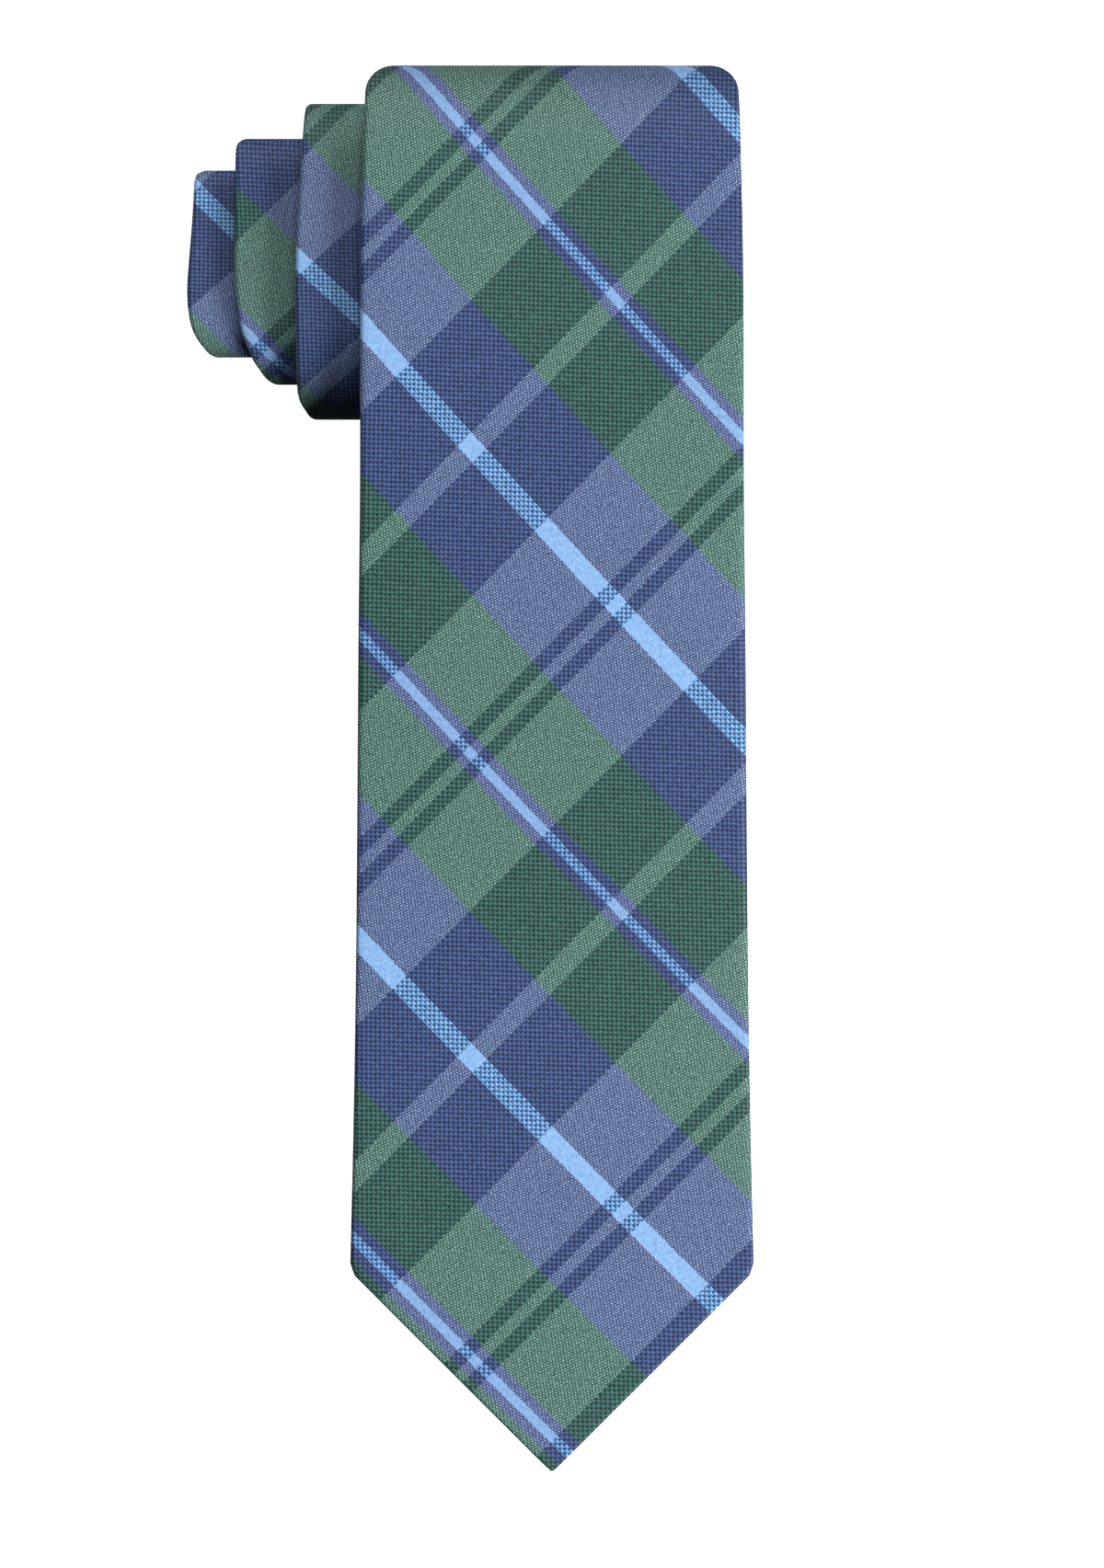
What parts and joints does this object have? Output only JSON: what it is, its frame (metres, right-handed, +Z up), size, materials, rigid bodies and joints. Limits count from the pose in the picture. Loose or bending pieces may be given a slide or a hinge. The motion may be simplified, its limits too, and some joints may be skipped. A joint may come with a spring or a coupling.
{
  "type": "necktie",
  "caption": "Plaid woven necktie laid out for display: the pointed blade lies face up, and the rest is wound in a flat roll behind it, drawn out sideways in steps.",
  "frame": {"origin": "on the surface the tie lies on, under the middle of its box", "axes": "+X to the right and +Y from the blade's point to the roll, with the blade face up; +Z up"},
  "size_m": [0.1098, 0.2728, 0.044],
  "materials": {
    "plaid_silk": "bias-cut woven plaid in green, blue and sky blue, soft satin sheen",
    "interlining": "brushed wool interlining",
    "tipping": "plain navy lining",
    "woven_label": "blank damask label",
    "satin_tag": "blank satin tape",
    "thread": "sewing thread"
  },
  "bodies": {
    "roll": {"blade_envelope_rolled": "plaid_silk", "blade_interlining_rolled": "interlining", "blade_slip_stitch_rolled": "thread", "blade_neck_seam": "thread"},
    "blade": {"blade_envelope": "plaid_silk", "blade_interlining": "interlining", "blade_slip_stitch": "thread", "blade_tipping": "tipping", "blade_bar_tack": "thread", "blade_slack_loop": "thread", "keeper_loop": "plaid_silk", "keeper_loop_tack_left": "thread", "keeper_loop_tack_right": "thread", "maker_label": "woven_label", "label_stitch_left": "thread", "label_stitch_right": "thread", "care_tag": "satin_tag", "care_tag_stitch": "thread"},
    "neck_turns": {"neck_envelope": "plaid_silk", "neck_interlining": "interlining", "neck_slip_stitch": "thread", "neck_tail_seam": "thread"},
    "tail_turns": {"tail_envelope": "plaid_silk", "tail_interlining": "interlining", "tail_slip_stitch": "thread"},
    "tail_end": {"tail_envelope_end": "plaid_silk", "tail_interlining_end": "interlining", "tail_slip_stitch_end": "thread", "tail_tipping": "tipping", "tail_bar_tack": "thread", "tail_slack_loop": "thread"}
  },
  "joints": [
    {"name": "blade_lift", "type": "hinge", "parent": "roll", "child": "blade", "pos_m": [0.01525, 0.09075, 0.044], "axis": [-1, 0, 0], "range_deg": [0, 120]},
    {"name": "neck_turns_slide", "type": "slide", "parent": "roll", "child": "neck_turns", "axis": [1, 0, 0], "range_m": [-0.004, 0.0135]},
    {"name": "tail_turns_slide", "type": "slide", "parent": "neck_turns", "child": "tail_turns", "axis": [1, 0, 0], "range_m": [-0.004, 0.0122]},
    {"name": "tail_end_slide", "type": "slide", "parent": "tail_turns", "child": "tail_end", "axis": [1, 0, 0], "range_m": [-0.004, 0.0098]}
  ],
  "couplings": [
    {"joint": "tail_turns_slide", "follows": "neck_turns_slide", "ratio": 0.9037},
    {"joint": "tail_end_slide", "follows": "neck_turns_slide", "ratio": 0.7259}
  ]
}
